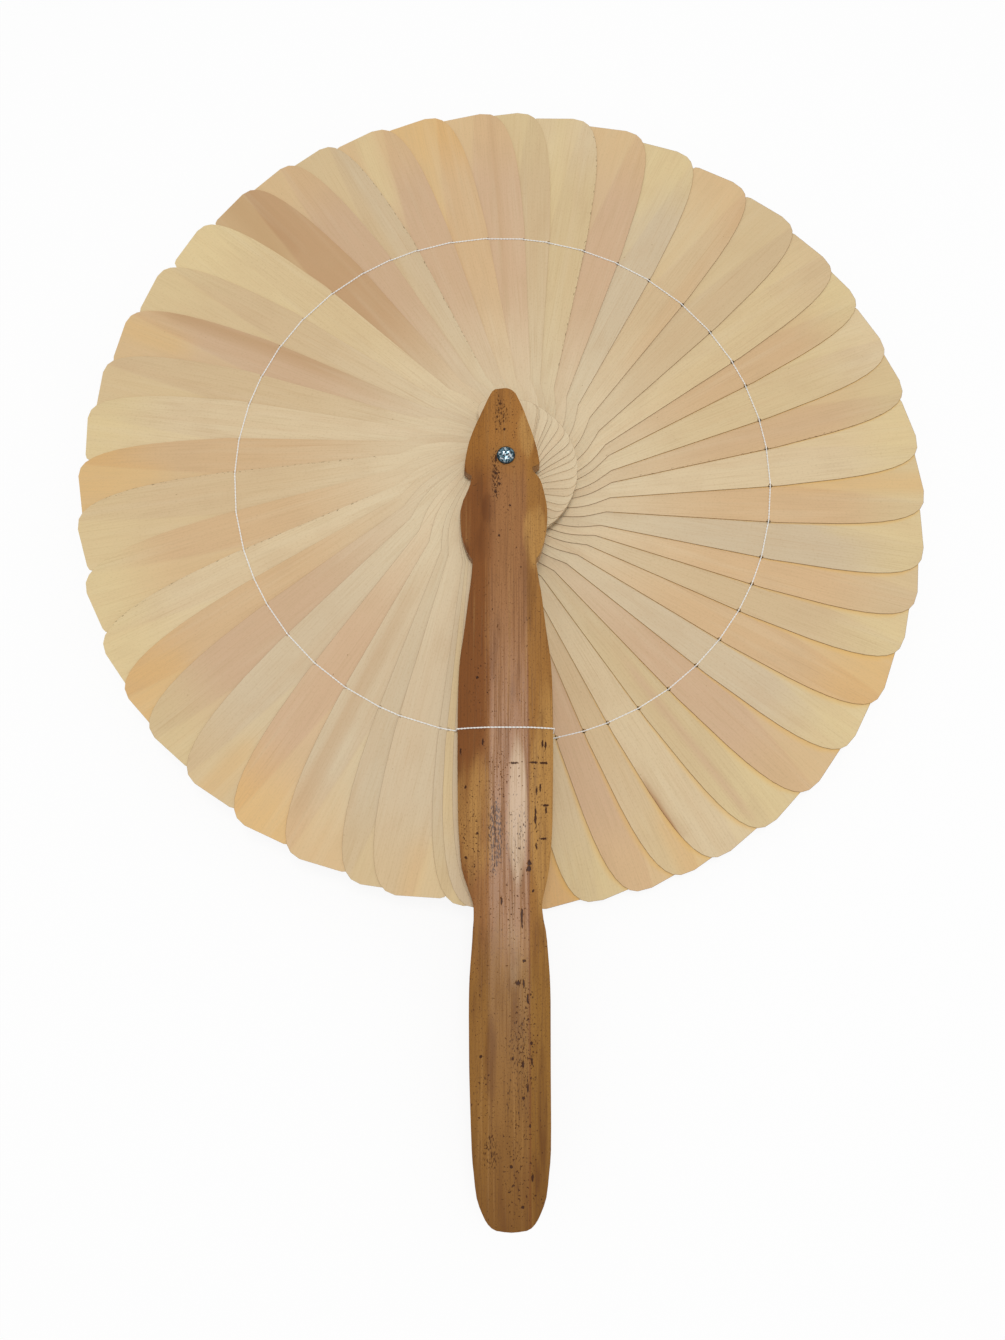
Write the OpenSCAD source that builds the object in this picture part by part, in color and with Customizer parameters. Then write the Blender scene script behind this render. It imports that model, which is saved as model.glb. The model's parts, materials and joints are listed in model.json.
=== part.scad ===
// Round folding fan: a cockade of thin leaves between two bamboo guards, all on one pivot screw.
// It lies on its rear guard, front guard up, opened to the full circle, with the handle towards -Y.

/* [Leaves] */
// Number of leaves strung round the pivot
leaf_count = 49; // [40:1:49]
// From the pivot to the tip of the longest upper leaf
leaf_reach = 151; // [145:1:158]
// Thickness of one dried leaf
leaf_t = 0.28; // [0.2:0.01:0.4]
// Air between two leaves
leaf_gap = 0.06; // [0.05:0.01:0.15]
// From a leaf's middle to its covered edge, where the leaf is broadest
leaf_half_w = 15.9; // [15:0.1:16.5]
// Half the width of a leaf's neck
neck_half_w = 11.7; // [10:0.1:13]
// From the pivot to the neck
neck_at = 36.2; // [32:0.1:42]
// Half the width of a leaf's shoulder, between the neck and the pivot
shoulder_half_w = 13.9; // [13:0.1:15]
// Half the width of a leaf's butt, behind the pivot
butt_half_w = 10.4; // [10:0.1:11]
// From the pivot to the end of the butt
butt_end = 24.9; // [24.7:0.1:26]

/* [Spread] */
// Turn of the first leaf from the front guard, in degrees
first_turn = 1.6; // [1:0.1:3]
// Spacing of the leaves: 0 as the maker drew them, 1 in equal steps
evenness = 0; // [0:0.1:1]

/* [Guards] */
// Thickness of a guard at its crest
guard_t = 7; // [5:0.5:9]
// Radius of the bamboo culm that the guards were split from
culm_r = 34; // [26:1:50]
// Width of the flat shaved along the crest
crest_w = 12.4; // [6:0.2:14]
// How far to the right of the middle that flat lies
crest_x = 0.8; // [-1:0.1:1]
// Length of the handle, from the pivot to the end of the grip
grip_end = 240.5; // [220:0.5:260]

/* [Pivot] */
// Diameter of the screw's shank
shank_d = 3; // [2.5:0.5:4]
// Play between the shank and what turns on it, on the radius
pivot_play = 0.07; // [0.03:0.01:0.1]
// Diameter of the screw's head
head_d = 6.2; // [5:0.1:7]
// Height of the screw's head
head_h = 1.9; // [1.5:0.1:2.5]

/* [Thread] */
// Diameter of the twisted thread
thread_d = 0.44; // [0.3:0.02:0.5]
// From the pivot to the thread, measured along a leaf
stitch_at = 94; // [85:1:105]
// Radius of the notch that holds the thread in a leaf's edge
notch_r = 0.6; // [0.5:0.05:1]

/* [Hidden] */
$fn = 48;

function leaf_name(i) = str("leaf_", i < 10 ? "0" : "", i);

// How far a cut runs past the face that it goes through
past = 1;

// The fan's box is centred on the origin, which lies on the face that the fan rests on.
pivot_y = (grip_end - leaf_reach) / 2;
leaf_pitch = leaf_t + leaf_gap;
stack_t = leaf_count * leaf_pitch + leaf_gap;
front_face_z = guard_t + stack_t;
crest_z = front_face_z + guard_t;

// Turn from each leaf to the next, as the maker drew them on the thread
STEPS = [
    1.55, 1.6, 8.35, 4.45, 8.15, 8.05, 8.35, 7.95, 6.2, 6.85, 8.8, 9.05, 7.65, 8.6, 7.05, 8.05,
    8.3, 8.95, 8.6, 6.8, 6.5, 8.1, 8.1, 8.2, 5.55, 8.25, 8.1, 8.15, 9.5, 9, 8.6, 6.25,
    8.6, 6.75, 8.6, 8.1, 8.2, 6.35, 6.55, 7.6, 7.55, 7.7, 7.5, 7.2, 5.2, 5.85, 6.3, 7.2
];
last_turn = 354.5;
even_step = (last_turn - first_turn) / (leaf_count - 1);

// Each leaf's turn from the handle, clockwise as seen from the front. Leaf 1 is the front one.
function leaf_step(i) = evenness * even_step + (1 - evenness) * STEPS[i - 1];
TURNS = [for (i = 1, a = first_turn; i <= leaf_count; a = a + leaf_step(min(i, len(STEPS))), i = i + 1) a];
function leaf_z(i) = guard_t + leaf_gap + (leaf_count - i) * leaf_pitch;

// A smooth curve through stations, which ends at the first and the last of them
function blend(a, b, c, d, t) =
    0.5 * (2 * b + (c - a) * t + (2 * a - 5 * b + 4 * c - d) * t * t
        + (3 * b - a - 3 * c + d) * t * t * t);
function smooth(s, steps) = concat(
    [
        for (k = [0:len(s) - 2], m = [0:steps - 1])
            let (a = s[max(k - 1, 0)], d = s[min(k + 2, len(s) - 1)])
            blend(a, s[k], s[k + 1], d, m / steps)
    ],
    [s[len(s) - 1]]
);
function reversed(points) = [for (k = [len(points) - 1:-1:0]) points[k]];
function mirrored(points) = [for (p = points) [-p[0], p[1]]];

// A leaf's outline as [half width, distance above the pivot]: the flared butt, the shoulder and the
// neck are one curve, alike on both sides.
BUTT_SIDE = [
    [6, 0.4 - butt_end], [8.3, 1.1 - butt_end], [9.9, 2.5 - butt_end], [butt_half_w, -20], [9.7, -15],
    [8.9, -8], [9.7, 0], [11, 7], [12.3, 13], [13.5, 19], [shoulder_half_w, 24], [13.6, 28.5],
    [12.7, 32.5], [neck_half_w, neck_at]
];
// How much longer each leaf is than the longest upper one, as [leaf, difference]
REACH_OVER = [
    [1, -0.7], [8, -1], [15, -0.8], [19, -0.3], [23, 0], [28, 0], [30, -1], [37, -0.7], [41, 0.5],
    [44, 0.9], [47, 0.7], [49, 0.2]
];
function reach(i) = leaf_reach + lookup(i, REACH_OVER);

// The covered edge flares all the way to a small corner.
broadest_at = 135;
function covered_side(i) = concat(smooth(BUTT_SIDE, 2), [
    [leaf_half_w, broadest_at], [leaf_half_w, reach(i) - 8], [leaf_half_w - 0.6, reach(i) - 5.2],
    [leaf_half_w - 1.6, reach(i) - 3], [leaf_half_w - 3, reach(i) - 2.3]
]);

// The free edge flares as far as the thread, and its tip is an oval, fuller on the later leaves.
flare_at = 98;
oval_steps = 9;
tip_x = 1;
function flare_half_w(u) =
    neck_half_w + (leaf_half_w - neck_half_w) * (u - neck_at) / (broadest_at - neck_at);
function fullness(i) = (i - 1) / (leaf_count - 1);
function free_side(i) =
    let (
        w = flare_half_w(flare_at),
        foot = flare_at + 2 + 5 * fullness(i),
        power = 2 / (2.5 + fullness(i))
    )
    concat(
        smooth(BUTT_SIDE, 2),
        [[w, flare_at]],
        [
            for (k = [0:oval_steps])
                let (a = 90 * k / oval_steps)
                [
                    tip_x + (w - tip_x) * pow(cos(a), power),
                    foot + (reach(i) - foot) * pow(sin(a), power)
                ]
        ]
    );

// The leaf points towards -Y.
module leaf_outline(i) {
    mirror([0, 1])
        polygon(concat([[0, -butt_end]], covered_side(i), reversed(mirrored(free_side(i)))));
}

// The notch breaks out through the edge that lies clockwise.
notch_x = -flare_half_w(stitch_at) + notch_r / 2;

module leaf_blank(i) {
    difference() {
        linear_extrude(leaf_t) leaf_outline(i);
        translate([0, 0, -past]) cylinder(r = shank_d / 2 + pivot_play, h = leaf_t + 2 * past);
        translate([notch_x, -stitch_at, -past]) cylinder(r = notch_r, h = leaf_t + 2 * past);
    }
}

LEAF_COLOURS = ["#e3cfa4", "#dcc095", "#ead9ad", "#d9b98e", "#e6cda0"];

module leaf(i) {
    color(LEAF_COLOURS[(i * 7) % len(LEAF_COLOURS)])
        translate([0, pivot_y, leaf_z(i)])
        rotate([0, 0, -TURNS[i - 1]])
        leaf_blank(i);
}

// Guard outline, as [half width, distance below the pivot]. The head is a blunt ogive with a nick at
// its base in each edge, and the left nick lies lower.
RIGHT_HEAD = [
    [0, -25.3], [1.5, -24.9], [3.3, -23.4], [4.6, -20.7], [6.1, -17.2], [7.7, -12.6], [8.9, -9.3],
    [10.1, -5.4], [10.9, -2.1], [11.5, 1.4], [11.6, 2.3]
];
RIGHT_LIP = [[9, 3.9], [9.2, 5], [9.8, 5.8], [11.3, 7.4], [12.3, 9.6], [13.1, 12.8], [13.8, 16]];
LEFT_HEAD = [
    [0, -25.3], [2.8, -25], [4.8, -24], [7.3, -18.9], [9.7, -13.7], [11.4, -9.9], [12.9, -5.5],
    [13.8, -1], [14.2, 2.3], [14.3, 4.4]
];
LEFT_LIP = [[11.8, 6.4], [12, 8.7], [13.1, 11.8], [14.6, 14.9]];
// Below the nicks the stations hold half the guard's width. Its middle line wanders a little, as
// [distance below the pivot, shift to the right].
shaft_half_w = 15.45;
SHAFT = [
    [14.8, 18.6], [14.8, 21.9], [14.5, 25.8], [13.7, 29.9], [12.3, 34], [11.1, 36.1], [10.65, 37.2],
    [11.25, 43.2], [12, 48.2], [12.75, 54.3], [13.5, 60.4], [14.3, 66], [14.9, 70.5], [15.3, 77],
    [shaft_half_w, 88], [15.4, 103], [15.2, 113], [15, 122.5], [14.5, 130.2], [13.75, 137.6],
    [12.3, 143.1], [10.9, 147.6], [10.65, 149.8]
];
GRIP = [
    [10.65, 149.8], [10.85, 153.4], [11.3, 156.5], [11.8, 163], [12.3, 170], [12.45, 177], [12.4, 186],
    [12.25, 196], [12.1, 205], [11.7, 219], [11.1, 225], [10.2, 231.5], [8.5, 235.7], [6.8, 238.4],
    [4.4, 240], [0, grip_end]
];
shaft_shift = -0.25;
EDGE_SHIFT = [[30, -0.75], [48, shaft_shift], [138, shaft_shift], [158, 1.05], [195, 1.1], [220, 1.5]];

function edge_shift(u) = lookup(u, EDGE_SHIFT);

function lower_side(side) = [
    for (p = concat(smooth(SHAFT, 2), smooth(GRIP, 2)))
        [side * p[0] + edge_shift(p[1]), -p[1]]
];
function upper_side(side, stations, steps) = [for (p = smooth(stations, steps)) [side * p[0], -p[1]]];

module guard_outline() {
    polygon(concat(
        upper_side(1, RIGHT_HEAD, 2), upper_side(1, RIGHT_LIP, 2), lower_side(1),
        reversed(concat(upper_side(-1, LEFT_HEAD, 2), upper_side(-1, LEFT_LIP, 2), lower_side(-1)))
    ));
}

// Height of the shaved flat over the culm's axis
crest_h = sqrt(culm_r * culm_r - crest_w * crest_w / 4);
groove_w = 1.9;
groove_d = 0.7;
groove_y = -94.5;
head_tip = -RIGHT_HEAD[0][1];

// A guard with its flat inner face at z = 0 and its skin upwards
module guard_blank() {
    difference() {
        intersection() {
            linear_extrude(guard_t) guard_outline();
            translate([crest_x, head_tip + past, guard_t - crest_h])
                rotate([90, 0, 0])
                cylinder(r = culm_r, h = grip_end + head_tip + 2 * past, $fn = 96);
        }
        translate([0, 0, -past]) cylinder(r = shank_d / 2 + pivot_play, h = guard_t + 2 * past);
        translate([-culm_r, groove_y - groove_w / 2, -past])
            cube([2 * culm_r, groove_w, groove_d + past]);
    }
}

module front_guard() {
    color("#a8783f")
        translate([0, pivot_y, front_face_z])
        guard_blank();
}

// The rear guard is the front one's mirror image, with a seat for the nut sunk in its crest.
washer_d = 7;
washer_t = 0.5;
nut_h = 2.4;
nut_across_flats = 5.5;
nut_play = 0.05;
seat_d = 8.4;
seat_depth = 4.2;

module rear_guard() {
    color("#9c6c38")
        translate([0, pivot_y, guard_t])
        difference() {
            mirror([0, 0, 1]) guard_blank();
            translate([0, 0, -guard_t - past]) cylinder(d = seat_d, h = seat_depth + past);
        }
}

// The shank ends inside the nut's seat and runs a little way into the head, whose cross recess is
// cut down from the dome.
screw_end_z = 0.8;
shank_in_head = 0.5;
head_air = 0.02;
head_edge_h = 0.7;
recess_w = 0.8;
recess_l = 3.4;
recess_d = 1.1;

module pivot_screw() {
    dome_r = (pow(head_d / 2, 2) + pow(head_h - head_edge_h, 2)) / (2 * (head_h - head_edge_h));
    color("#b9c4cc")
        translate([0, pivot_y, 0]) {
            translate([0, 0, screw_end_z])
                cylinder(d = shank_d, h = crest_z + shank_in_head - screw_end_z);
            translate([0, 0, crest_z + head_air])
                difference() {
                    intersection() {
                        cylinder(d = head_d, h = head_h);
                        translate([0, 0, head_h - dome_r]) sphere(r = dome_r, $fn = 64);
                    }
                    for (a = [45, 135])
                        rotate([0, 0, a])
                            translate([-recess_l / 2, -recess_w / 2, head_h - recess_d])
                            cube([recess_l, recess_w, recess_d + past]);
                }
        }
}

module screw_washer() {
    color("#a9b2b8")
        translate([0, pivot_y, seat_depth - washer_t])
        difference() {
            cylinder(d = washer_d, h = washer_t);
            translate([0, 0, -past]) cylinder(r = shank_d / 2 + pivot_play, h = washer_t + 2 * past);
        }
}

module screw_nut() {
    color("#a9b2b8")
        translate([0, pivot_y, seat_depth - washer_t - nut_h])
        difference() {
            cylinder(d = nut_across_flats / cos(30), h = nut_h, $fn = 6);
            translate([0, 0, -past]) cylinder(r = shank_d / 2 + nut_play, h = nut_h + 2 * past);
        }
}

// The thread lies on each leaf's face and drops one leaf deeper at each notch. It starts in the
// front guard's groove, goes round that guard, and ends in the rear guard's groove.
thread_air = 0.02;
thread_lift = thread_d / 2 + thread_air;
thread_sides = 8;
notch_in = 0.15;
notch_out = 0.3;

function turned(p, a) = [p[0] * cos(a) + p[1] * sin(a), p[1] * cos(a) - p[0] * sin(a)];
NOTCHES = [for (a = TURNS) turned([notch_x, -stitch_at], a)];
function unit(v) = v / norm(v);
function at_level(p, z) = [p[0], p[1], z];
function thread_z(i) = leaf_z(i) + leaf_t + thread_lift;

// The last point on leaf i, and the first, just past the notch of the leaf before it
function run_end(i) =
    let (from = NOTCHES[max(i - 2, 0)], to = NOTCHES[i - 1])
    at_level(to - notch_in * (i > 1 ? unit(to - from) : [-1, 0]), thread_z(i));
function run_start(i) =
    let (from = NOTCHES[i - 2], to = NOTCHES[i - 1])
    at_level(from + notch_out * unit(to - from), thread_z(i));

// The thread's turn round the front guard: its edges, the height at which it passes their flanks,
// and how far from the middle its ends are tucked into the grooves
flank_air = 0.12;
flank_out = shaft_half_w + thread_d / 2 + flank_air;
left_x = shaft_shift - flank_out;
right_x = shaft_shift + flank_out;
flank_h = 2.6;
flank_foot_h = 1;
tucked_x = 12;
wrap_y = NOTCHES[0][1];
groove_mid_h = groove_d / 2;
skin_lift = thread_d / 2 + flank_air;
function over_skin(x) =
    let (z = crest_z - crest_h + sqrt(pow(culm_r + skin_lift, 2) - pow(x - crest_x, 2)))
    [x, wrap_y, min(z, crest_z + skin_lift)];
crest_right = crest_x + crest_w / 2;
crest_left = crest_x - crest_w / 2;

FRONT_LOOP = concat(
    [
        [-tucked_x, groove_y, front_face_z + groove_mid_h],
        [tucked_x, groove_y, front_face_z + groove_mid_h],
        [right_x, groove_y, front_face_z + groove_mid_h],
        [right_x, wrap_y, front_face_z + flank_h],
        over_skin(right_x)
    ],
    [
        for (x = [14, 11, crest_right + 0.8, crest_right - 2, crest_left + 2, crest_left - 0.8, -11, -14.6])
            over_skin(x)
    ],
    [
        over_skin(left_x),
        [left_x, wrap_y, front_face_z + flank_h],
        [left_x, wrap_y, front_face_z + flank_foot_h]
    ]
);

LAST = NOTCHES[leaf_count - 1];
rear_bend = 1.5;
REAR_END = [
    at_level(LAST, guard_t - groove_mid_h),
    [LAST[0] + rear_bend, groove_y, guard_t - groove_mid_h],
    [tucked_x, groove_y, guard_t - groove_mid_h]
];

ROUTE = concat(
    FRONT_LOOP,
    [run_end(1)],
    [for (i = [2:leaf_count], end = [0, 1]) end == 0 ? run_start(i) : run_end(i)],
    REAR_END
);

// The way that the route runs at point k, halfway between its two stretches there
function heading(route, k) =
    let (
        last = len(route) - 1,
        ahead = route[min(k, last - 1) + 1] - route[min(k, last - 1)],
        behind = route[max(k, 1)] - route[max(k, 1) - 1]
    )
    unit(unit(ahead) + unit(behind));

// Where the route climbs as steeply as this, its rings are set by the Y axis instead of the Z axis.
steep = 0.9;
function ring_round(p, along, r, sides) =
    let (
        side = unit(cross(along, abs(along[2]) > steep ? [0, 1, 0] : [0, 0, 1])),
        up = cross(side, along)
    )
    [for (s = [0:sides - 1]) let (a = 360 * s / sides) p + r * (cos(a) * side + sin(a) * up)];

module swept(route, r, sides) {
    last = len(route) - 1;
    points = [for (k = [0:last]) each ring_round(route[k], heading(route, k), r, sides)];
    skin = [
        for (k = [0:last - 1], s = [0:sides - 1])
            let (n = (s + 1) % sides, a = k * sides, b = a + sides)
            [a + s, a + n, b + n, b + s]
    ];
    start = [for (s = [sides - 1:-1:0]) s];
    finish = [for (s = [0:sides - 1]) last * sides + s];
    polyhedron(points, concat(skin, [start, finish]), convexity = 10);
}

module binding_thread() {
    color("#f4f1e8")
        translate([0, pivot_y, 0])
        swept(ROUTE, thread_d / 2, thread_sides);
}

front_guard();
rear_guard();
pivot_screw();
screw_washer();
screw_nut();
binding_thread();
for (i = [1:leaf_count]) leaf(i);
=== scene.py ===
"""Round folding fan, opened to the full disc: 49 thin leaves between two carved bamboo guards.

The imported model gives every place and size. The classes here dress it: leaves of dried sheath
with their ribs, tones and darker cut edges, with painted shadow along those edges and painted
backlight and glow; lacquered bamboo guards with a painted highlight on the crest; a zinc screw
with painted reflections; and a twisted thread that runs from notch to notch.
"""

import json
import logging
import math
import random
from dataclasses import dataclass, field
from enum import Enum

import bmesh
import bpy
from bmesh.types import BMesh
from bpy.types import NodeSocket, NodeTree
from mathutils import Matrix, Vector, noise


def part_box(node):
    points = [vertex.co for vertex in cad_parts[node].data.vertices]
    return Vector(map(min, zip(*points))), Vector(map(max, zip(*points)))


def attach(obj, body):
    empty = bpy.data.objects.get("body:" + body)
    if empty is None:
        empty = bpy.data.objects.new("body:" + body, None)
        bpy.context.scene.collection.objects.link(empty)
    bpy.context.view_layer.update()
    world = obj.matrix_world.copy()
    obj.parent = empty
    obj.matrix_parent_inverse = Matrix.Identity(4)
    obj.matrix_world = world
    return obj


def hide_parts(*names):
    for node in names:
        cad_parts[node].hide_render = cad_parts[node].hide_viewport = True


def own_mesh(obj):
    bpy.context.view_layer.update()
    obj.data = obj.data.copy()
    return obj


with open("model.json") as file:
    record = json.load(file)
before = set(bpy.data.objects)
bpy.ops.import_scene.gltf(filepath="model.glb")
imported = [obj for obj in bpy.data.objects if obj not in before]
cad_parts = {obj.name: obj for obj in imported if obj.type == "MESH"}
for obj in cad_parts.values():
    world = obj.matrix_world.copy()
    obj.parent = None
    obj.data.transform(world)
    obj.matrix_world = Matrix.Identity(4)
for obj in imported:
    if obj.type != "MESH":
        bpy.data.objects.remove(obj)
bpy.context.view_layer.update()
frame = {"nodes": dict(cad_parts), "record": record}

MM = 0.001
log = logging.getLogger("fan")

# Sockets that share their names with others on the same node, by number
FROM_LOW = 1
FROM_HIGH = 2
TO_LOW = 3
TO_HIGH = 4
COLOUR_A = 6
COLOUR_B = 7
COLOUR_OUT = 2

# The marks that a guard's mesh carries as attributes, one of each per vertex. The fourth is a painted
# highlight on the crest; the others are marks of the wood.
SKIN_MARKS = ("pocked", "stained", "golden", "glazed", "rubbed")

# What a leaf's measures say where there is no glow, and where it lies over the next leaf
FAR = 99.0
COVERED = -9.0

# Angles in degrees: faces that make one flat, edges to round, and edges that shade as sharp
FLAT_DEG = 0.5
ROUNDED_DEG = 30
SHARP_DEG = 32

# Distances in millimetres: points that are one point, and points that a cut meets
JOIN_MM = 0.002
CUT_MM = 0.001

# How upright the normal of a leaf's face is at least, and that of its cut edge at most
FACE_Z = 0.9
WALL_Z = 0.5


def linear(colour: str) -> tuple[float, float, float, float]:
    """Turns an sRGB hex colour into linear red, green, blue and alpha.

    Args:
        colour: Six hex digits after a hash sign.

    Returns:
        The colour as Blender's sockets take it.
    """
    shares = [int(colour[k : k + 2], 16) / 255 for k in (1, 3, 5)]
    return (*[s / 12.92 if s <= 0.04045 else ((s + 0.055) / 1.055) ** 2.4 for s in shares], 1.0)


def add(tree: NodeTree, kind: str, settings: dict) -> bpy.types.Node:
    """Adds one node to a tree.

    Args:
        tree: The material's or world's node tree.
        kind: The node's type name.
        settings: Its properties and inputs, by name or number. An input may be given a value, or
            another node's output to link it to.

    Returns:
        The new node.
    """
    node = tree.nodes.new(kind)
    for key, value in settings.items():
        if isinstance(value, NodeSocket):
            tree.links.new(value, node.inputs[key])
        elif isinstance(key, int) or key in node.inputs:
            node.inputs[key].default_value = value
        else:
            setattr(node, key, value)
    return node


def new_material(name: str) -> tuple[bpy.types.Material, NodeTree]:
    """Makes a material with an empty node tree.

    Args:
        name: The material's name.

    Returns:
        The material and its tree.
    """
    material = bpy.data.materials.new(name)
    material.use_nodes = True
    material.node_tree.nodes.clear()
    return material, material.node_tree


def grain(
    tree: NodeTree,
    place: NodeSocket,
    across_mm: float,
    along_mm: float,
    detail: float,
) -> NodeSocket:
    """Adds noise of a real size to a material.

    Args:
        tree: The material's tree.
        place: The place on the surface, in millimetres.
        across_mm: How wide one patch of the noise is.
        along_mm: How long one patch is.
        detail: How many finer layers the noise has.

    Returns:
        The noise, from 0 to 1.
    """
    size = (1 / across_mm, 1 / along_mm, 1 / across_mm)
    sized = add(tree, "ShaderNodeMapping", {"Vector": place, "Scale": size}).outputs[0]
    return add(tree, "ShaderNodeTexNoise", {"Vector": sized, "Scale": 1.0, "Detail": detail}).outputs[0]


def eased(value: float, low: float, high: float) -> float:
    """A share that rises smoothly from 0 at low to 1 at high, or falls where low is the greater."""
    share = min(1.0, max(0.0, (value - low) / (high - low)))
    return share * share * (3 - 2 * share)


@dataclass(frozen=True)
class Marks:
    """A tone that covers a surface where a measure of it, or noise of a real size, passes a level."""

    tone: str
    low: float
    high: float
    most: float
    measure: str = "noise"
    across_mm: float = 1.0
    along_mm: float = 1.0
    detail: float = 2.0
    helped_by: str = ""
    help: float = 0.0

    def over(
        self,
        tree: NodeTree,
        measures: dict[str, NodeSocket],
        colour: NodeSocket,
    ) -> tuple[NodeSocket, NodeSocket]:
        """Lays the marks over a colour.

        Args:
            tree: The material's tree.
            measures: The surface's measures by name, with its place in millimetres as "place".
            colour: The colour beneath.

        Returns:
            The new colour, and how strong the marks are at each place.
        """
        level = measures.get(self.measure)
        if level is None:
            level = grain(tree, measures["place"], self.across_mm, self.along_mm, self.detail)
        if self.helped_by:
            helped = {"operation": "MULTIPLY_ADD", 0: measures[self.helped_by], 1: self.help, 2: level}
            level = add(tree, "ShaderNodeMath", helped).outputs[0]
        span = {"interpolation_type": "SMOOTHSTEP", 0: level, FROM_LOW: self.low, FROM_HIGH: self.high}
        share = add(tree, "ShaderNodeMapRange", {**span, TO_HIGH: self.most}).outputs[0]
        mix = {"data_type": "RGBA", 0: share, COLOUR_A: colour, COLOUR_B: linear(self.tone)}
        return add(tree, "ShaderNodeMix", mix).outputs[COLOUR_OUT], share


class Tone(Enum):
    """The tones that dried sheath has, from one leaf to the next."""

    PALE = "#ECD9B5"
    CREAM = "#E9D2AA"
    STRAW = "#E4CB9D"
    SAND = "#E0C59B"
    GREYISH = "#DFCAA8"
    PEACH = "#E3C093"
    ROSE = "#DDBB97"
    TAN = "#DDB789"
    BROWN = "#CDA67C"
    YELLOW = "#EAD3A2"
    ORANGE = "#E9BE82"
    RUSSET = "#A8703F"


@dataclass(frozen=True)
class DriedSheath:
    """Thin dried plant sheath, cut and pressed flat: matte, ribbed lengthwise, and it lets light through."""

    ribs: Marks = Marks("#C4A578", 0.42, 0.72, 0.22, across_mm=0.45, along_mm=20, detail=3)
    layers: tuple[Marks, ...] = (
        Marks("#DDB88E", 0.46, 0.74, 0.17, across_mm=6, along_mm=120),
        Marks("#F0E2C2", 0.5, 0.72, 0.11, across_mm=4, along_mm=70),
        Marks("#D0B088", 0.45, 0.8, 0.26, across_mm=9, along_mm=18, detail=4),
        Marks("#B98A5C", 0.62, 0.74, 0.16, across_mm=0.6, along_mm=50),
        Marks("#B99A6E", 0.5, 0.75, 0.22, across_mm=0.5, along_mm=0.9, detail=3),
        Marks("#8B6238", 0.79, 0.85, 0.75, across_mm=0.8, along_mm=2.4, detail=1),
        # Painted backlight: paler yellow where only one layer of leaf lies, out towards the rim
        Marks("#F3DDA6", -0.6, 0.8, 0.2, measure="single"),
        # Painted light: a warm glow on the leaf just past the free edge of the leaf in front
        Marks("#F3C46C", 1.0, 0.0, 0.5, measure="bare"),
        Marks("#6B4A26", 0.72, 0.8, 0.6, across_mm=0.4, along_mm=1.4, detail=2, helped_by="worn", help=0.19),
        # The cut edges' own brown, together with a painted shadow line along them
        Marks("#7C4C1E", 0.2, 1.0, 0.85, measure="edge"),
    )
    light_through: str = "#F2C078"
    translucency: float = 0.1
    rib_depth_mm: float = 0.06
    roughness: float = 0.7

    def material(self) -> bpy.types.Material:
        """Builds the material from each leaf's own map, in millimetres across and along it.

        Returns:
            The finished material.
        """
        material, tree = new_material("dried_sheath")
        measures = {"place": add(tree, "ShaderNodeUVMap", {"uv_map": "leaf_mm"}).outputs["UV"]}
        for name in ("edge", "bare", "single", "worn"):
            measures[name] = add(tree, "ShaderNodeAttribute", {"attribute_name": name}).outputs["Fac"]
        tone = add(tree, "ShaderNodeAttribute", {"attribute_name": "tone"}).outputs["Color"]
        colour, ribs = self.ribs.over(tree, measures, tone)
        for layer in self.layers:
            colour, _ = layer.over(tree, measures, colour)
        sunk = {"Strength": 0.3, "Distance": self.rib_depth_mm * MM, "Height": ribs, "invert": True}
        bump = add(tree, "ShaderNodeBump", sunk).outputs[0]
        matte = {"Base Color": colour, "Roughness": self.roughness, "IOR": 1.45, "Specular IOR Level": 0.25}
        body = add(tree, "ShaderNodeBsdfPrincipled", {**matte, "Normal": bump}).outputs[0]
        warm = {"data_type": "RGBA", "blend_type": "MULTIPLY", 0: 1.0, COLOUR_A: colour}
        warmed = add(tree, "ShaderNodeMix", {**warm, COLOUR_B: linear(self.light_through)})
        through = add(tree, "ShaderNodeBsdfTranslucent", {"Color": warmed.outputs[COLOUR_OUT]}).outputs[0]
        both = add(tree, "ShaderNodeMixShader", {0: self.translucency, 1: body, 2: through}).outputs[0]
        add(tree, "ShaderNodeOutputMaterial", {"Surface": both})
        return material


@dataclass(frozen=True)
class Scars:
    """Dark marks of one size on the skin: half of it, and each one's place from the pivot, in millimetres."""

    half_w: float
    half_l: float
    places: tuple[tuple[float, float], ...]


@dataclass(frozen=True)
class Border:
    """The border of a tone along the guard: the size of its bends, and how far they sway, in millimetres."""

    measure: str
    across_mm: float
    along_mm: float
    sway_mm: float


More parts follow.
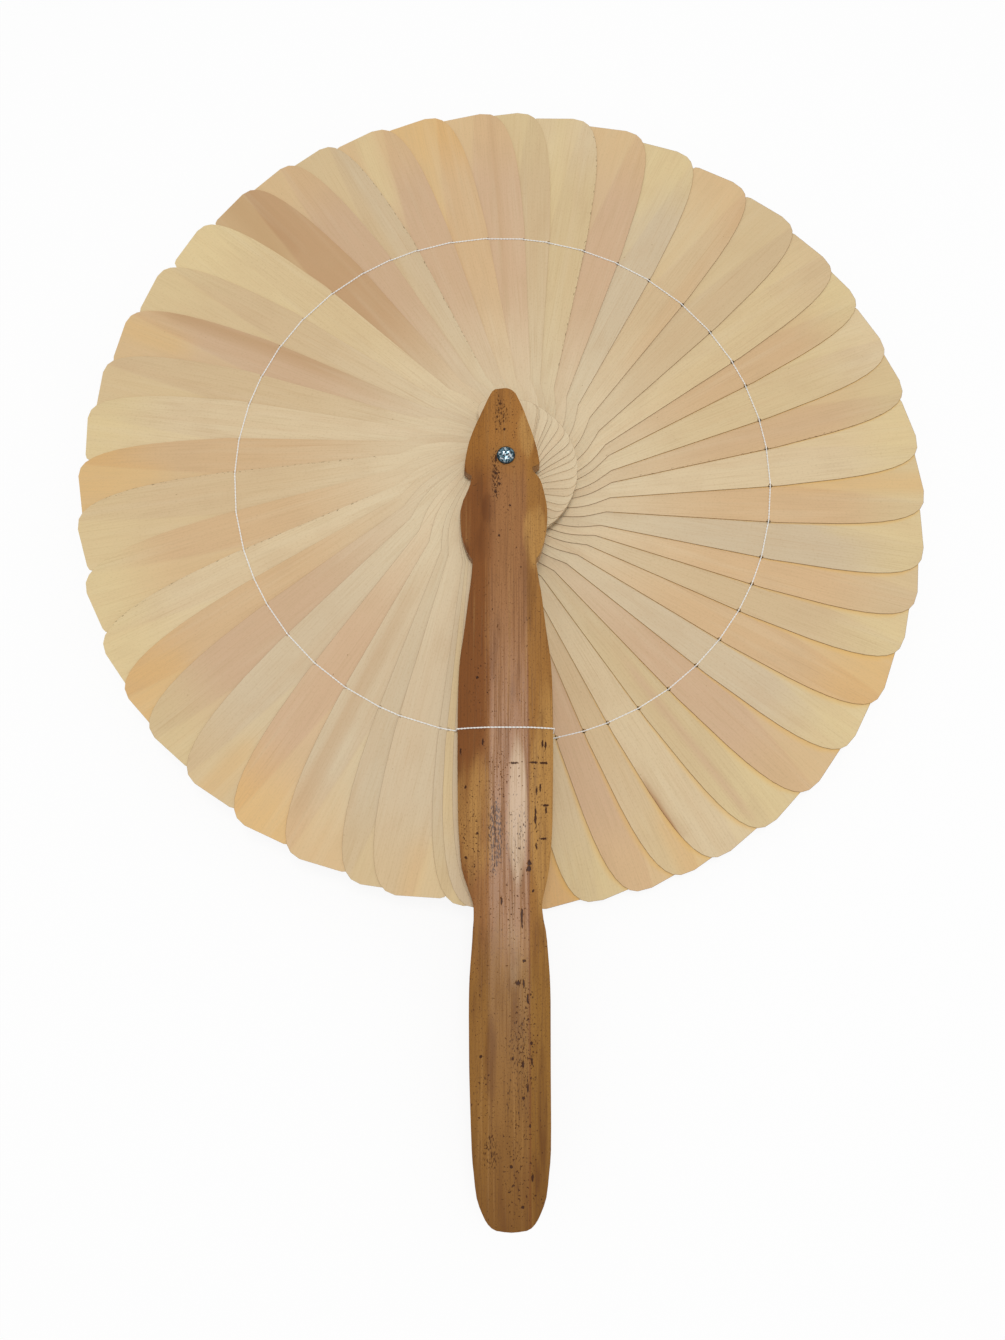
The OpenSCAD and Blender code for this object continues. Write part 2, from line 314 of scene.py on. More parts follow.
@dataclass(frozen=True)
class LacqueredBamboo:
    """Bamboo culm with its skin on, carved at the edges and lacquered: satin, dark-pored, long-fibred."""

    name: str
    pivot_y_mm: float
    tone: str = "#9C6A3C"
    borders: tuple[Border, ...] = (Border("x", 4, 30, 0.8), Border("x_loose", 5, 26, 7.0))
    seam_x_mm: float = 7.0
    seam_starts_mm: tuple[float, float] = (50.0, 75.0)
    shade_ends_mm: tuple[float, float] = (84.0, 122.0)
    shade_draws_in_mm: float = 6.0

    layers: tuple[Marks, ...] = (
        Marks("#7A451A", -3.4, -7.8, 0.8, measure="x_loose"),
        Marks("#A0702F", 6.2, 7.6, 0.6, measure="x"),
        Marks("#A56F2E", 14.0, -6.0, 0.75, measure="down"),
        Marks("#BA8B4C", 0.15, 0.75, 0.8, measure="golden", helped_by="wander", help=1.2),
        Marks("#8F6428", 142.0, 176.0, 0.75, measure="down", helped_by="wander", help=60),
        Marks("#6A4010", 195.0, 245.0, 0.5, measure="down", helped_by="wander", help=60),
        Marks("#5F3716", 0.46, 0.74, 0.45, across_mm=0.4, along_mm=24, detail=4),
        Marks("#B98A50", 0.55, 0.75, 0.3, across_mm=0.8, along_mm=45),
        Marks("#6A3F1B", 0.52, 0.76, 0.5, across_mm=4.5, along_mm=28, detail=3),
        Marks("#5A2E10", 0.35, 1.0, 0.75, measure="stained", helped_by="wander", help=0.9),
        Marks("#6E3014", 0.5, 0.1, 0.4, measure="from_seam"),
        Marks("#5E3A16", 0.68, 0.8, 0.5, across_mm=0.4, along_mm=6, detail=3, helped_by="pocked", help=0.12),
        Marks("#6B4320", 0.54, 0.7, 0.5, across_mm=0.3, along_mm=0.6, detail=2),
        # Painted highlight: a pale pinkish patch on the crest, where the lamp's glare falls
        Marks("#D8BE9C", 0.2, 1.0, 0.55, measure="glazed", helped_by="wander", help=0.8),
        Marks("#452200", 0.52, 0.8, 0.9, measure="rubbed", helped_by="ragged", help=3.0),
    )
    pores: tuple[Marks, ...] = (
        Marks(
            "#4A2200", 0.72, 0.77, 0.92, across_mm=0.55, along_mm=0.8, detail=1, helped_by="pocked", help=0.12
        ),
        Marks(
            "#4E2804", 0.75, 0.79, 0.85, across_mm=1.6, along_mm=0.5, detail=1, helped_by="pocked", help=0.07
        ),
        Marks(
            "#421E00", 0.77, 0.81, 0.9, across_mm=1.0, along_mm=1.3, detail=1, helped_by="pocked", help=0.1
        ),
        Marks("#3A1800", 1.1, 0.7, 0.97, measure="scarred", helped_by="ragged", help=2.4),
    )
    dashes: Scars = Scars(1.3, 0.4, ((2.4, 105), (9, 104.8), (12.1, 104.8), (11.6, 128.6), (12.4, 118.2)))
    strokes: Scars = Scars(
        0.34,
        1.25,
        (
            (11.6, 98.6), (12.7, 99.2), (9.6, 113.6), (10.8, 112.8), (12.6, 119.8), (9.4, 131), (-1.4, 147.5),
            (7.6, 193.8), (6.4, 201.4), (6.5, 176.4), (5.3, 172), (7.6, 226), (-14.6, 101), (-7.4, 98.4),
            (-3.4, 1), (5, 194.8),
        ),
    )
    cracks: Scars = Scars(0.38, 3.1, ((4.8, 152.6), (9.2, 122)))
    blots: Scars = Scars(0.85, 0.95, ((3.6, 171.8), (7.3, 136.2), (7.1, 137.8), (-13.8, 8.4)))
    dots: Scars = Scars(
        0.46,
        0.5,
        (
            (8.4, 144.6), (5.4, 165.4), (7.5, 189), (1.9, 193.4), (-7.6, 192.8), (5, 204.4), (7, 212),
            (1.4, 223), (4.6, 233.8), (-0.6, -9.8), (1.4, 18), (-2.3, 28.7), (-9.4, 77), (-12.6, 134.4),
            (-14.6, 5), (-3.4, 6.4), (-2.2, 10.2), (-3.6, 13), (-12.8, 112.4), (-9, 127),
        ),
    )

    # Which of the layers is the fibres, and how wide and long the bits of a ragged mark are
    fibre_layer: int = 6
    bits_mm: tuple[float, float] = (1 / 2.6, 1 / 0.9)
    pit_depth: float = 1.5
    relief_mm: float = 0.1
    roughness: tuple[float, float] = (0.3, 0.46)

    def nearest_scar(self, tree: NodeTree, place: NodeSocket) -> NodeSocket:
        """Measures how far the nearest scar is, as a share of that scar's half size.

        Args:
            tree: The material's tree.
            place: The place on the skin, in millimetres from the pivot.

        Returns:
            The distance: 0 in a scar's middle, and 1 at its edge.
        """
        nearest = None
        for scars in (self.dashes, self.strokes, self.cracks, self.blots, self.dots):
            sized = {"Vector": place, "Scale": (1 / scars.half_w, 1 / scars.half_l, 0.0)}
            spread = add(tree, "ShaderNodeMapping", sized).outputs[0]
            for across, down in scars.places:
                middle = (across / scars.half_w, down / scars.half_l, 0.0)
                apart = {"operation": "DISTANCE", 0: spread, 1: middle}
                off = add(tree, "ShaderNodeVectorMath", apart).outputs["Value"]
                if nearest is not None:
                    off = add(tree, "ShaderNodeMath", {"operation": "MINIMUM", 0: nearest, 1: off}).outputs[0]
                nearest = off
        return nearest

    def measures(self, tree: NodeTree) -> dict[str, NodeSocket]:
        """Measures the skin: where a place is along and across it, and which marks it lies in.

        Args:
            tree: The material's tree.

        Returns:
            The measures by name. Lengths are in millimetres from the pivot.
        """
        where = add(tree, "ShaderNodeTexCoord", {}).outputs["Object"]
        in_mm = {"Vector": where, "Scale": (1 / MM, -1 / MM, 1 / MM), "Location": (0, self.pivot_y_mm, 0)}
        place = add(tree, "ShaderNodeMapping", in_mm).outputs[0]
        x, down, _ = add(tree, "ShaderNodeSeparateXYZ", {0: place}).outputs
        found = {"place": place, "down": down, "scarred": self.nearest_scar(tree, place)}
        for border in self.borders:
            bends = grain(tree, place, border.across_mm, border.along_mm, 2.0)
            centred = {"operation": "SUBTRACT", 0: bends, 1: 0.5}
            found["wander"] = add(tree, "ShaderNodeMath", centred).outputs[0]
            moved = {"operation": "MULTIPLY_ADD", 0: found["wander"], 1: border.sway_mm, 2: x}
            found[border.measure] = add(tree, "ShaderNodeMath", moved).outputs[0]
        beside = add(tree, "ShaderNodeMath", {"operation": "SUBTRACT", 0: found["x"], 1: self.seam_x_mm})
        aside = add(tree, "ShaderNodeMath", {"operation": "ABSOLUTE", 0: beside.outputs[0]}).outputs[0]
        high, low = self.seam_starts_mm
        fall = {0: down, FROM_LOW: high, FROM_HIGH: low, TO_LOW: 1.0, TO_HIGH: 0.0}
        above = add(tree, "ShaderNodeMapRange", fall).outputs[0]
        found["from_seam"] = add(tree, "ShaderNodeMath", {"operation": "ADD", 0: aside, 1: above}).outputs[0]
        high, low = self.shade_ends_mm
        rise = {0: down, FROM_LOW: high, FROM_HIGH: low, TO_LOW: 0.0, TO_HIGH: self.shade_draws_in_mm}
        faded = add(tree, "ShaderNodeMapRange", rise).outputs[0]
        loose = {"operation": "ADD", 0: found["x_loose"], 1: faded}
        found["x_loose"] = add(tree, "ShaderNodeMath", loose).outputs[0]
        bits = grain(tree, place, *self.bits_mm, 3.0)
        found["ragged"] = add(tree, "ShaderNodeMath", {"operation": "SUBTRACT", 0: bits, 1: 0.5}).outputs[0]
        for name in SKIN_MARKS:
            found[name] = add(tree, "ShaderNodeAttribute", {"attribute_name": name}).outputs["Fac"]
        return found

    def material(self) -> bpy.types.Material:
        """Builds the material on Object coordinates, so that the fibres run along the guard.

        Returns:
            The finished material.
        """
        material, tree = new_material(self.name)
        measures = self.measures(tree)
        colour = add(tree, "ShaderNodeRGB", {}).outputs[0]
        colour.default_value = linear(self.tone)
        shares = []
        for layer in (*self.layers, *self.pores):
            colour, share = layer.over(tree, measures, colour)
            shares.append(share)
        depth = shares[self.fibre_layer]
        for pit in shares[-len(self.pores) :]:
            deeper = {"operation": "MULTIPLY_ADD", 0: pit, 1: self.pit_depth, 2: depth}
            depth = add(tree, "ShaderNodeMath", deeper).outputs[0]
        sunk = {"Strength": 0.55, "Distance": self.relief_mm * MM, "Height": depth, "invert": True}
        bump = add(tree, "ShaderNodeBump", sunk).outputs[0]
        low, high = self.roughness
        rise = {0: depth, FROM_LOW: 0.0, FROM_HIGH: 0.5, TO_LOW: low, TO_HIGH: high}
        satin = add(tree, "ShaderNodeMapRange", rise).outputs[0]
        skin = {"Base Color": colour, "Roughness": satin, "IOR": 1.5, "Specular IOR Level": 0.22}
        body = add(tree, "ShaderNodeBsdfPrincipled", {**skin, "Normal": bump}).outputs[0]
        add(tree, "ShaderNodeOutputMaterial", {"Surface": body})
        return material


@dataclass(frozen=True)
class ZincPlate:
    """Steel with blue zinc plating, pressed and turned: mirror-like, with painted reflections in hard dark
    and white patches, and painted shade in a dark ring round the head's rim.
    """

    pivot_y_mm: float
    tone: str = "#84A6B4"
    layers: tuple[Marks, ...] = (
        # Painted reflections: dark and white patches in the colour stand in for what the mirror-like head
        # reflects
        Marks("#22363F", 0.44, 0.54, 0.9, across_mm=0.8, along_mm=0.8, detail=1),
        Marks("#F6FBFC", 0.56, 0.61, 0.95, across_mm=0.7, along_mm=0.7, detail=1),
        # Painted shade: a dark ring round the rim of the screw's head
        Marks("#1E2C33", 2.45, 3.0, 0.85, measure="from_axis"),
    )
    roughness: tuple[float, float] = (0.12, 0.3)

    def material(self) -> bpy.types.Material:
        """Builds the material on Object coordinates.

        Returns:
            The finished material.
        """
        material, tree = new_material("blue_zinc_plate")
        where = add(tree, "ShaderNodeTexCoord", {}).outputs["Object"]
        in_mm = {"Vector": where, "Scale": (1 / MM, 1 / MM, 1 / MM), "Location": (0, -self.pivot_y_mm, 0)}
        place = add(tree, "ShaderNodeMapping", in_mm).outputs[0]
        flat = add(tree, "ShaderNodeVectorMath", {"operation": "MULTIPLY", 0: place, 1: (1, 1, 0)}).outputs[0]
        out = add(tree, "ShaderNodeVectorMath", {"operation": "LENGTH", 0: flat}).outputs["Value"]
        colour = add(tree, "ShaderNodeRGB", {}).outputs[0]
        colour.default_value = linear(self.tone)
        for layer in self.layers:
            colour, share = layer.over(tree, {"place": place, "from_axis": out}, colour)
        low, high = self.roughness
        rough = add(tree, "ShaderNodeMapRange", {0: share, TO_LOW: high, TO_HIGH: low}).outputs[0]
        bright = {"Base Color": colour, "Metallic": 1.0, "Roughness": rough}
        body = add(tree, "ShaderNodeBsdfPrincipled", bright)
        add(tree, "ShaderNodeOutputMaterial", {"Surface": body.outputs[0]})
        return material


@dataclass(frozen=True)
class TwistedCotton:
    """White cotton sewing thread: matte, with the fine fuzz of its fibres in the hollows of the twist."""

    tone: str = "#F7F5F0"
    fuzz: Marks = Marks("#C2B8A6", 0.5, 0.8, 0.5, across_mm=0.12, along_mm=0.12)
    fuzz_mm: float = 0.02
    roughness: float = 0.85

    def material(self) -> bpy.types.Material:
        """Builds the material on Object coordinates.

        Returns:
            The finished material.
        """
        material, tree = new_material("twisted_cotton")
        where = add(tree, "ShaderNodeTexCoord", {}).outputs["Object"]
        in_mm = {"Vector": where, "Scale": (1 / MM, 1 / MM, 1 / MM)}
        place = add(tree, "ShaderNodeMapping", in_mm).outputs[0]
        white = add(tree, "ShaderNodeRGB", {}).outputs[0]
        white.default_value = linear(self.tone)
        colour, fuzz = self.fuzz.over(tree, {"place": place}, white)
        bump = add(tree, "ShaderNodeBump", {"Strength": 0.3, "Distance": self.fuzz_mm * MM, "Height": fuzz})
        soft = {"Base Color": colour, "Roughness": self.roughness, "Sheen Weight": 0.3}
        body = add(tree, "ShaderNodeBsdfPrincipled", {**soft, "Normal": bump.outputs[0]})
        add(tree, "ShaderNodeOutputMaterial", {"Surface": body.outputs[0]})
        return material


def merged_copy(node: str) -> BMesh:
    """Copies a CAD node's mesh, with its loose triangles joined and its flat faces made whole.

    Args:
        node: The CAD node's name.

    Returns:
        A new bmesh in the frame's place.
    """
    mesh = bmesh.new()
    mesh.from_mesh(frame["nodes"][node].data)
    bmesh.ops.remove_doubles(mesh, verts=mesh.verts, dist=JOIN_MM * MM)
    bmesh.ops.dissolve_limit(mesh, angle_limit=math.radians(FLAT_DEG), verts=mesh.verts, edges=mesh.edges)
    return mesh


def cut_across(mesh: BMesh, axis: Vector, places: list[float]) -> None:
    """Cuts a mesh with parallel planes, so that it has vertices to shape.

    Args:
        mesh: The mesh to cut.
        axis: The planes' normal.
        places: How far along the axis each plane lies, in metres.
    """
    for place in places:
        everything = [*mesh.verts, *mesh.edges, *mesh.faces]
        point = axis * place
        bmesh.ops.bisect_plane(mesh, geom=everything, dist=CUT_MM * MM, plane_co=point, plane_no=axis)


def round_edges(mesh: BMesh, width: float, segments: int) -> None:
    """Rounds the sharp edges of a mesh.

    Args:
        mesh: The mesh to round.
        width: How far the rounding reaches from an edge, in metres.
        segments: How many steps it has.
    """
    least = math.radians(ROUNDED_DEG)
    sharp = [e for e in mesh.edges if len(e.link_faces) == 2 and e.calc_face_angle() > least]
    bmesh.ops.bevel(
        mesh,
        geom=sharp,
        offset=width,
        offset_type="OFFSET",
        affect="EDGES",
        segments=segments,
        profile=0.5,
        material=-1,
        clamp_overlap=True,
    )


def finish_piece(
    mesh: BMesh, name: str, body: str, material: bpy.types.Material
) -> bpy.types.Object:
    """Turns a bmesh into a piece that rides on its body.

    Args:
        mesh: The mesh, which is freed.
        name: The piece's name.
        body: The CAD body that carries it.
        material: Its finish.

    Returns:
        The new object.
    """
    data = bpy.data.meshes.new(name)
    mesh.to_mesh(data)
    mesh.free()
    data.materials.append(material)
    data.polygons.foreach_set("use_smooth", [True] * len(data.polygons))
    data.set_sharp_from_angle(angle=math.radians(SHARP_DEG))
    piece = bpy.data.objects.new(name, data)
    bpy.context.scene.collection.objects.link(piece)
    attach(piece, body)
    log.info("%s: %d faces, on %s", name, len(data.polygons), body)
    return piece


@dataclass
class Pivot:
    """The screw's axis, which every leaf turns about, and each leaf's turn from the handle."""

    y: float = 0.0
    turns: list[float] = field(default_factory=list)

    def __post_init__(self) -> None:
        """Reads the axis from the screw's own box, and each turn from how far its joint follows the guard."""
        low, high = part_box("pivot_screw")
        self.y = (low.y + high.y) / 2
        ratios = {c["joint"]: c["ratio"] for c in frame["record"]["behaviour"]["couplings"]}
        self.turns = [360 * (1 - ratios[joint]) for joint in sorted(ratios)]

    def placed(self, turn: float, z: float) -> Matrix:
        """The place of a leaf that points at its turn, clockwise from the handle, in degrees."""
        return Matrix.Translation((0, self.y, z)) @ Matrix.Rotation(math.radians(-turn), 4, "Z")


@dataclass(frozen=True)
class Stain:
    """A place on one leaf with a tone of its own, in millimetres across it and out from the pivot."""

    leaf: int
    tone: Tone
    across: float
    width: float
    start: float
    end: float
    most: float

    def share(self, across: float, out: float, soft: float = 6.0) -> float:
        """Tells how much of the stain there is at a place on its leaf.

        Args:
            across: How far to the right of the leaf's middle line the place is.
            out: How far from the pivot it is.
            soft: Half the length over which the stain comes in and goes out.

        Returns:
            The share, up to the stain's most.
        """
        sideways = 1 - eased(abs(across - self.across), self.width * 0.25, self.width)
        begun = eased(out, self.start - soft, self.start + soft)
        ended = eased(out, self.end - soft, self.end + soft)
        return self.most * sideways * begun * (1 - ended)


@dataclass
class LeafFan:
    """The leaves, each dressed for itself over its own solid's outline."""

    pivot: Pivot
    finish: bpy.types.Material
    edge_line_mm: float = 0.1
    cross_cut_mm: float = 5.0
    long_cut_mm: float = 2.5
    butt_rows: int = 4
    reach_mm: float = 151.0
    neck_from_mm: float = 36.0
    neck_at_mm: float = 36.2
    neck_half_w_mm: float = 11.7
    broadest_at_mm: float = 135.0
    covered_mm: float = 15.9
    notch_at_mm: float = 94.0
    notch_half_mm: float = 0.8
    free_left_of_mm: float = 2.0
    flare_from_mm: float = 98.0
    leaf_t_mm: float = 0.28
    edges: dict[int, list[tuple[float, float]]] = field(default_factory=dict)

    # How much shorter a leaf may be, and how much the rims of some are narrower than their solids
    shorter_mm: float = 0.6
    narrower_mm: float = 2.2
    narrow_leaves: range = range(14, 23)

    # Near the pivot all leaves have one tone. Each one's own comes in, and then that of its rim, which is
    # partly the leaf's own colour and partly painted backlight.
    common: Tone = Tone.PALE
    own_tone_least: float = 0.1
    own_tone_mm: tuple[float, float] = (20, 85)
    rim_tone_mm: tuple[float, float] = (116, 146)
    shades: tuple[float, float] = (0.955, 1.015)
    map_shift_mm: float = 900.0

    # The leaves over which the dark of the cut edges grows on the right, and again low on the left. That dark
    # is partly the cut edges' own brown and partly a painted shadow line along each edge, also wider on the
    # right.
    dark_right: tuple[int, int] = (24, 31)
    dark_left: tuple[int, int] = (12, 6)

    # The painted warm glow beside the leaf in front, which stands in for light passed between the leaves: its
    # width, the leaves over which it comes in, and how far out. A single layer of leaf is painted paler from
    # the thread to the rim, for the light that comes through it.
    glow_least_mm: float = 0.3
    glow_most_mm: float = 2.4
    glow_leaves: tuple[int, int] = (33, 42)
    glow_grows_mm: tuple[float, float] = (80, 140)
    single_from_mm: float = 90.0
    single_soft_mm: float = 6.0

    # The leaves whose free edge is frayed, from where to where, and how far in
    worn_leaves: tuple[int, ...] = (11, 13, 22, 27, 35)
    worn_mm: tuple[float, float] = (45, 146)
    worn_w_mm: float = 3.0

    # From the front leaf to the rear one, the tone of each leaf's body and that of its rim, the rim's partly
    # painted backlight
    tones = """
        GREYISH/GREYISH STRAW/GREYISH GREYISH/STRAW GREYISH/SAND GREYISH/SAND GREYISH/PEACH
        ROSE/ORANGE GREYISH/SAND ROSE/STRAW PEACH/ORANGE CREAM/YELLOW PEACH/YELLOW SAND/STRAW
        PEACH/ORANGE CREAM/YELLOW SAND/SAND ROSE/PEACH SAND/STRAW STRAW/YELLOW BROWN/BROWN
        ROSE/PEACH SAND/SAND ROSE/PEACH PEACH/ORANGE ROSE/PEACH SAND/STRAW STRAW/CREAM ROSE/PEACH
        GREYISH/YELLOW SAND/PEACH SAND/SAND STRAW/SAND PEACH/YELLOW STRAW/CREAM PEACH/STRAW
        CREAM/YELLOW PEACH/STRAW GREYISH/YELLOW PEACH/SAND SAND/YELLOW PEACH/ORANGE GREYISH/YELLOW
        ROSE/PEACH STRAW/YELLOW CREAM/CREAM SAND/STRAW ROSE/PEACH CREAM/YELLOW PEACH/ORANGE
    """.split()

    stains = (
        Stain(4, Tone.ORANGE, 3, 5, 132, 160, 0.35),
        Stain(6, Tone.BROWN, -9, 3, 45, 138, 0.45),
        Stain(7, Tone.RUSSET, -6, 1.3, 50, 138, 0.18),
        Stain(8, Tone.ORANGE, 4, 6, 128, 160, 0.6),
        Stain(10, Tone.ORANGE, -2, 9, 128, 160, 0.6),
        Stain(14, Tone.ORANGE, 0, 8, 120, 160, 0.6),
        Stain(17, Tone.BROWN, -12, 3.5, 40, 140, 0.9),
        Stain(17, Tone.ORANGE, 0, 7, 125, 160, 0.6),
        Stain(20, Tone.RUSSET, 2, 9, 118, 160, 0.22),
        Stain(22, Tone.GREYISH, -11, 7, 50, 150, 0.6),
        Stain(23, Tone.YELLOW, 3, 6, 115, 160, 0.7),
        Stain(24, Tone.ORANGE, 2, 4, 70, 150, 0.5),
        Stain(25, Tone.BROWN, -5, 2, 60, 150, 0.4),
        Stain(27, Tone.YELLOW, 3, 5, 118, 160, 0.5),
        Stain(29, Tone.YELLOW, 3, 6, 118, 160, 0.7),
        Stain(30, Tone.TAN, -12, 4, 60, 150, 0.5),
        Stain(35, Tone.ROSE, -8, 6, 60, 140, 0.3),
        Stain(37, Tone.ORANGE, 2, 6, 95, 160, 0.7),
        Stain(38, Tone.YELLOW, 3, 7, 115, 160, 0.7),
        Stain(44, Tone.ROSE, -7, 2, 80, 145, 0.7),
        Stain(45, Tone.RUSSET, -13.6, 1.5, 118, 146, 0.8),
        Stain(46, Tone.ORANGE, 0, 9, 130, 160, 0.6),
    )

    def build(self) -> None:
        """Builds every leaf and puts it on its own body."""
        draw = random.Random(48)
        for number in range(1, len(self.tones) + 1):
            self.leaf(number, draw)

    def cut_out(self, number: int) -> BMesh:
        """Copies one leaf's solid, laid so that it points along -Y with the pivot at the origin.

        Args:
            number: The leaf's number, from the front.

        Returns:
            The leaf, cut into a grid, with its free edge noted and its cut edge marked with its own brown and
            a painted shadow line.
        """
        node = f"leaf_{number:02d}"
        mesh = merged_copy(node)
        home = self.pivot.placed(self.pivot.turns[number - 1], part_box(node)[0].z).inverted()
        bmesh.ops.transform(mesh, matrix=home, verts=mesh.verts)
        mesh.normal_update()
        beyond_neck = [(-v.co.y / MM, v.co.x / MM) for v in mesh.verts if v.co.y < -self.neck_from_mm * MM]
        rim = [place for place in beyond_neck if place[1] < self.free_left_of_mm]
        self.edges[number] = sorted(p for p in rim if abs(p[0] - self.notch_at_mm) > self.notch_half_mm)
        # The painted shadow line along the edges is wider and darker on the right
        on_right = eased(number, *self.dark_right)
        for side in (1, -1):
            faces = [f for f in mesh.faces if f.normal.z * side > FACE_Z]
            line = self.edge_line_mm * (1 + on_right) * MM
            bmesh.ops.inset_region(mesh, faces=faces, thickness=line, use_even_offset=True)
        rows = range(-self.butt_rows, int(self.reach_mm / self.cross_cut_mm) + 1)
        cut_across(mesh, Vector((0, 1, 0)), [-row * self.cross_cut_mm * MM for row in rows])
        each_side = int(self.covered_mm / self.long_cut_mm)
        columns = range(-each_side, each_side + 1)
        cut_across(mesh, Vector((1, 0, 0)), [column * self.long_cut_mm * MM for column in columns])
        edge = mesh.verts.layers.float.new("edge")
        # How dark the edge is: its own brown and painted shadow
        darkness = 0.5 + 0.5 * (on_right + eased(number, *self.dark_left))
        for vert in mesh.verts:
            vert[edge] = darkness if any(abs(f.normal.z) < WALL_Z for f in vert.link_faces) else 0.0
        return mesh

    def past_edge(self, number: int, x: float, out: float) -> float:
        """Measures how far past a leaf's free edge a place lies, in that leaf's own millimetres.

        Args:
            number: The leaf's number.
            x: How far to the right of its middle line the place is.
            out: How far from the pivot the place is.

        Returns:
            The distance, negative on the leaf.
        """
        edge = self.edges[number]
        if not edge[0][0] < out < edge[-1][0]:
            return FAR
        k = next(i for i in range(len(edge) - 1) if edge[i + 1][0] > out)
        (low, left), (high, right) = edge[k], edge[k + 1]
        return left + (right - left) * (out - low) / (high - low) - x

    def beyond_neighbour(self, number: int, place: Vector) -> float:
        """Measures how far past the free edge of the leaf in front a place on a leaf lies.

        Args:
            number: The leaf's number.
            place: The place on the leaf, in metres.

        Returns:
            The distance in millimetres.
        """
        if number == 1:
            return FAR
        back = math.radians(self.pivot.turns[number - 1] - self.pivot.turns[number - 2])
        x = (place.x * math.cos(back) + place.y * math.sin(back)) / MM
        out = (place.x * math.sin(back) - place.y * math.cos(back)) / MM
        return self.past_edge(number - 1, x, out)

    def past_next(self, number: int, place: Vector) -> float:
        """Measures how far past the covered edge of the leaf behind a place on a leaf lies.

        Args:
            number: The leaf's number.
            place: The place on the leaf, in metres.

        Returns:
            The distance in millimetres, held down where the leaf is near the pivot.
        """
        if number == len(self.tones):
            return COVERED
        ahead = math.radians(self.pivot.turns[number] - self.pivot.turns[number - 1])
        x = (place.x * math.cos(ahead) - place.y * math.sin(ahead)) / MM
        out = (-place.x * math.sin(ahead) - place.y * math.cos(ahead)) / MM
        flare = (min(out, self.broadest_at_mm) - self.neck_at_mm) / (self.broadest_at_mm - self.neck_at_mm)
        edge_x = self.neck_half_w_mm + (self.covered_mm - self.neck_half_w_mm) * flare
        return min(x - edge_x, (out - self.single_from_mm) / self.single_soft_mm)

    def dress(self, mesh: BMesh, number: int, shift: Vector, shade: float) -> None:
        """Maps one leaf and writes its tones and measures on its vertices.

        Args:
            mesh: The leaf, pointing along -Y with the pivot at the origin.
            number: The leaf's number, from the front.
            shift: Where on the sheath's pattern the leaf was cut from, in millimetres.
            shade: How light it is beside its tone.
        """
        uv = mesh.loops.layers.uv.new("leaf_mm")
        colour = mesh.verts.layers.float_color.new("tone")
        bare, single, worn = (mesh.verts.layers.float.new(name) for name in ("bare", "single", "worn"))
        own_tones = [Tone[name] for name in self.tones[number - 1].split("/")]
        body, rim, common = (Vector(linear(tone.value)[:3]) for tone in (*own_tones, self.common))
        stains = [(s, Vector(linear(s.tone.value)[:3])) for s in self.stains if s.leaf == number]
        wide_glow = self.glow_most_mm * eased(number, *self.glow_leaves)
        for face in mesh.faces:
            for loop in face.loops:
                loop[uv].uv = (loop.vert.co.x / MM + shift.x, -loop.vert.co.y / MM + shift.y)
        for vert in mesh.verts:
            x, out = vert.co.x / MM, -vert.co.y / MM
            # Towards the rim the tone turns to the rim's, partly the leaf's own colour and partly painted
            # backlight
            tone = body.lerp(rim, eased(out, *self.rim_tone_mm))
            for stain, stain_tone in stains:
                tone = tone.lerp(stain_tone, stain.share(x, out))
            own = self.own_tone_least + (1 - self.own_tone_least) * eased(out, *self.own_tone_mm)
            vert[colour] = (*(common.lerp(tone, own) * shade), 1.0)
            on_top = vert.co.z / MM > self.leaf_t_mm / 2
            glow_mm = self.glow_least_mm + wide_glow * eased(out, *self.glow_grows_mm)
            glows = on_top and wide_glow > 0
            # Where the painted warm glow lies: how far past the free edge of the leaf in front
            vert[bare] = self.beyond_neighbour(number, vert.co) / glow_mm if glows else FAR
            # Where the painted backlight lies: past the covered edge of the leaf behind, out towards the rim
            vert[single] = self.past_next(number, vert.co) if on_top else COVERED
            frays = number in self.worn_leaves and x < 0 and self.worn_mm[0] < out < self.worn_mm[1]
            past = min(0.0, self.past_edge(number, x, out)) if frays else -self.worn_w_mm
            vert[worn] = 1 + max(-self.worn_w_mm, past)

    def leaf(self, number: int, draw: random.Random) -> None:
        """Dresses, shapes and places one leaf.

        Args:
            number: The leaf's number, from the front.
            draw: The source of its small differences.
        """
        mesh = self.cut_out(number)
        shift = Vector((draw.uniform(0, self.map_shift_mm), draw.uniform(0, self.map_shift_mm)))
        shade = draw.uniform(*self.shades)
        shorter = draw.uniform(0, self.shorter_mm)
        narrower = self.narrower_mm if number in self.narrow_leaves else 0.0
        self.dress(mesh, number, shift, shade)
        for vert in mesh.verts:
            x, out = vert.co.x / MM, -vert.co.y / MM
            past = max(0.0, out - self.flare_from_mm) / (self.reach_mm - self.flare_from_mm)
            vert.co.y += shorter * MM * past**2
            if x < 0:
                vert.co.x -= narrower * MM * past * x / self.covered_mm
        node = f"leaf_{number:02d}"
        place = self.pivot.placed(self.pivot.turns[number - 1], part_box(node)[0].z)
        bmesh.ops.transform(mesh, matrix=place, verts=mesh.verts)
        name = f"sheath_leaf_{number:02d}"
        piece = finish_piece(mesh, name, f"slip_{number:02d}", self.finish)
        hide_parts(node)


@dataclass(frozen=True)
class Patch:
    """A place on a guard's skin where pores crowd or the wood is stained, or where a highlight is painted, in
    millimetres from the pivot.
    """

    across: float
    down: float
    half_w: float
    half_l: float
    amount: float
    full_to: float = 0.45

    def share(self, across: float, down: float) -> float:
        """How much of the patch there is at a place on the skin."""
        gone = math.hypot((across - self.across) / self.half_w, (down - self.down) / self.half_l)
        return self.amount * eased(gone, 1.0, self.full_to)


